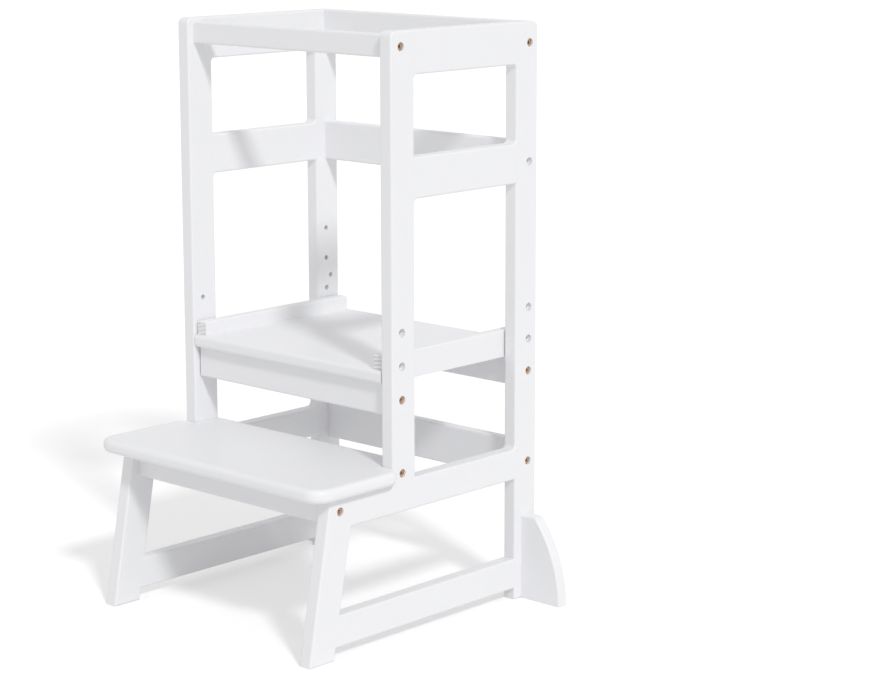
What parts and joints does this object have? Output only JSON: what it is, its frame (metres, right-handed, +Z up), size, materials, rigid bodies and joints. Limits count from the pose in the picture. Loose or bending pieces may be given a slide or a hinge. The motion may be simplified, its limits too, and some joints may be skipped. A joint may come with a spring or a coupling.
{
  "type": "toddler kitchen helper stool",
  "caption": "White wooden learning tower for a toddler: side frames and rails round a bolt-on, height-adjustable platform, a fixed front step and floor wings.",
  "frame": {"origin": "on the floor, at the middle of the footprint", "axes": "+Z up, +X across the stool, -Y towards the fixed step in front, +Y towards the back rails"},
  "size_m": [0.612, 0.493, 0.9],
  "materials": {
    "white_painted_wood": "satin white paint on smooth board",
    "brass_bolt": "warm brass plating, satin",
    "steel_nut": "zinc plated",
    "steel_screw": "zinc plated",
    "beech_dowel": "bare beech"
  },
  "bodies": {
    "frame": {"right_front_leg": "white_painted_wood", "right_front_post": "white_painted_wood", "right_rear_post": "white_painted_wood", "right_top_side_rail": "white_painted_wood", "right_mid_side_rail": "white_painted_wood", "right_step_side_rail": "white_painted_wood", "right_bottom_side_rail": "white_painted_wood", "right_side_frame_dowels": "beech_dowel", "right_frame_bolts": "brass_bolt", "right_floor_wing": "white_painted_wood", "left_front_leg": "white_painted_wood", "left_front_post": "white_painted_wood", "left_rear_post": "white_painted_wood", "left_top_side_rail": "white_painted_wood", "left_mid_side_rail": "white_painted_wood", "left_step_side_rail": "white_painted_wood", "left_bottom_side_rail": "white_painted_wood", "left_side_frame_dowels": "beech_dowel", "left_frame_bolts": "brass_bolt", "left_floor_wing": "white_painted_wood", "top_front_rail": "white_painted_wood", "top_back_rail": "white_painted_wood", "mid_back_rail": "white_painted_wood", "low_back_rail": "white_painted_wood", "step_front_apron": "white_painted_wood", "step_board": "white_painted_wood", "cross_rail_dowels": "beech_dowel", "step_board_dowels": "beech_dowel", "wing_dowels": "beech_dowel", "frame_barrel_nuts": "steel_nut"},
    "platform": {"platform_board": "white_painted_wood", "right_platform_cleat": "white_painted_wood", "left_platform_cleat": "white_painted_wood", "platform_front_apron": "white_painted_wood", "platform_rear_apron": "white_painted_wood", "platform_bolts": "brass_bolt", "platform_barrel_nuts": "steel_nut", "platform_dowels": "beech_dowel", "cleat_screws": "steel_screw"}
  },
  "joints": [
    {"name": "platform_height", "type": "slide", "parent": "frame", "child": "platform", "axis": [0, 0, 1], "range_m": [0, 0.1], "deforming": ["platform_bolts"]}
  ]
}
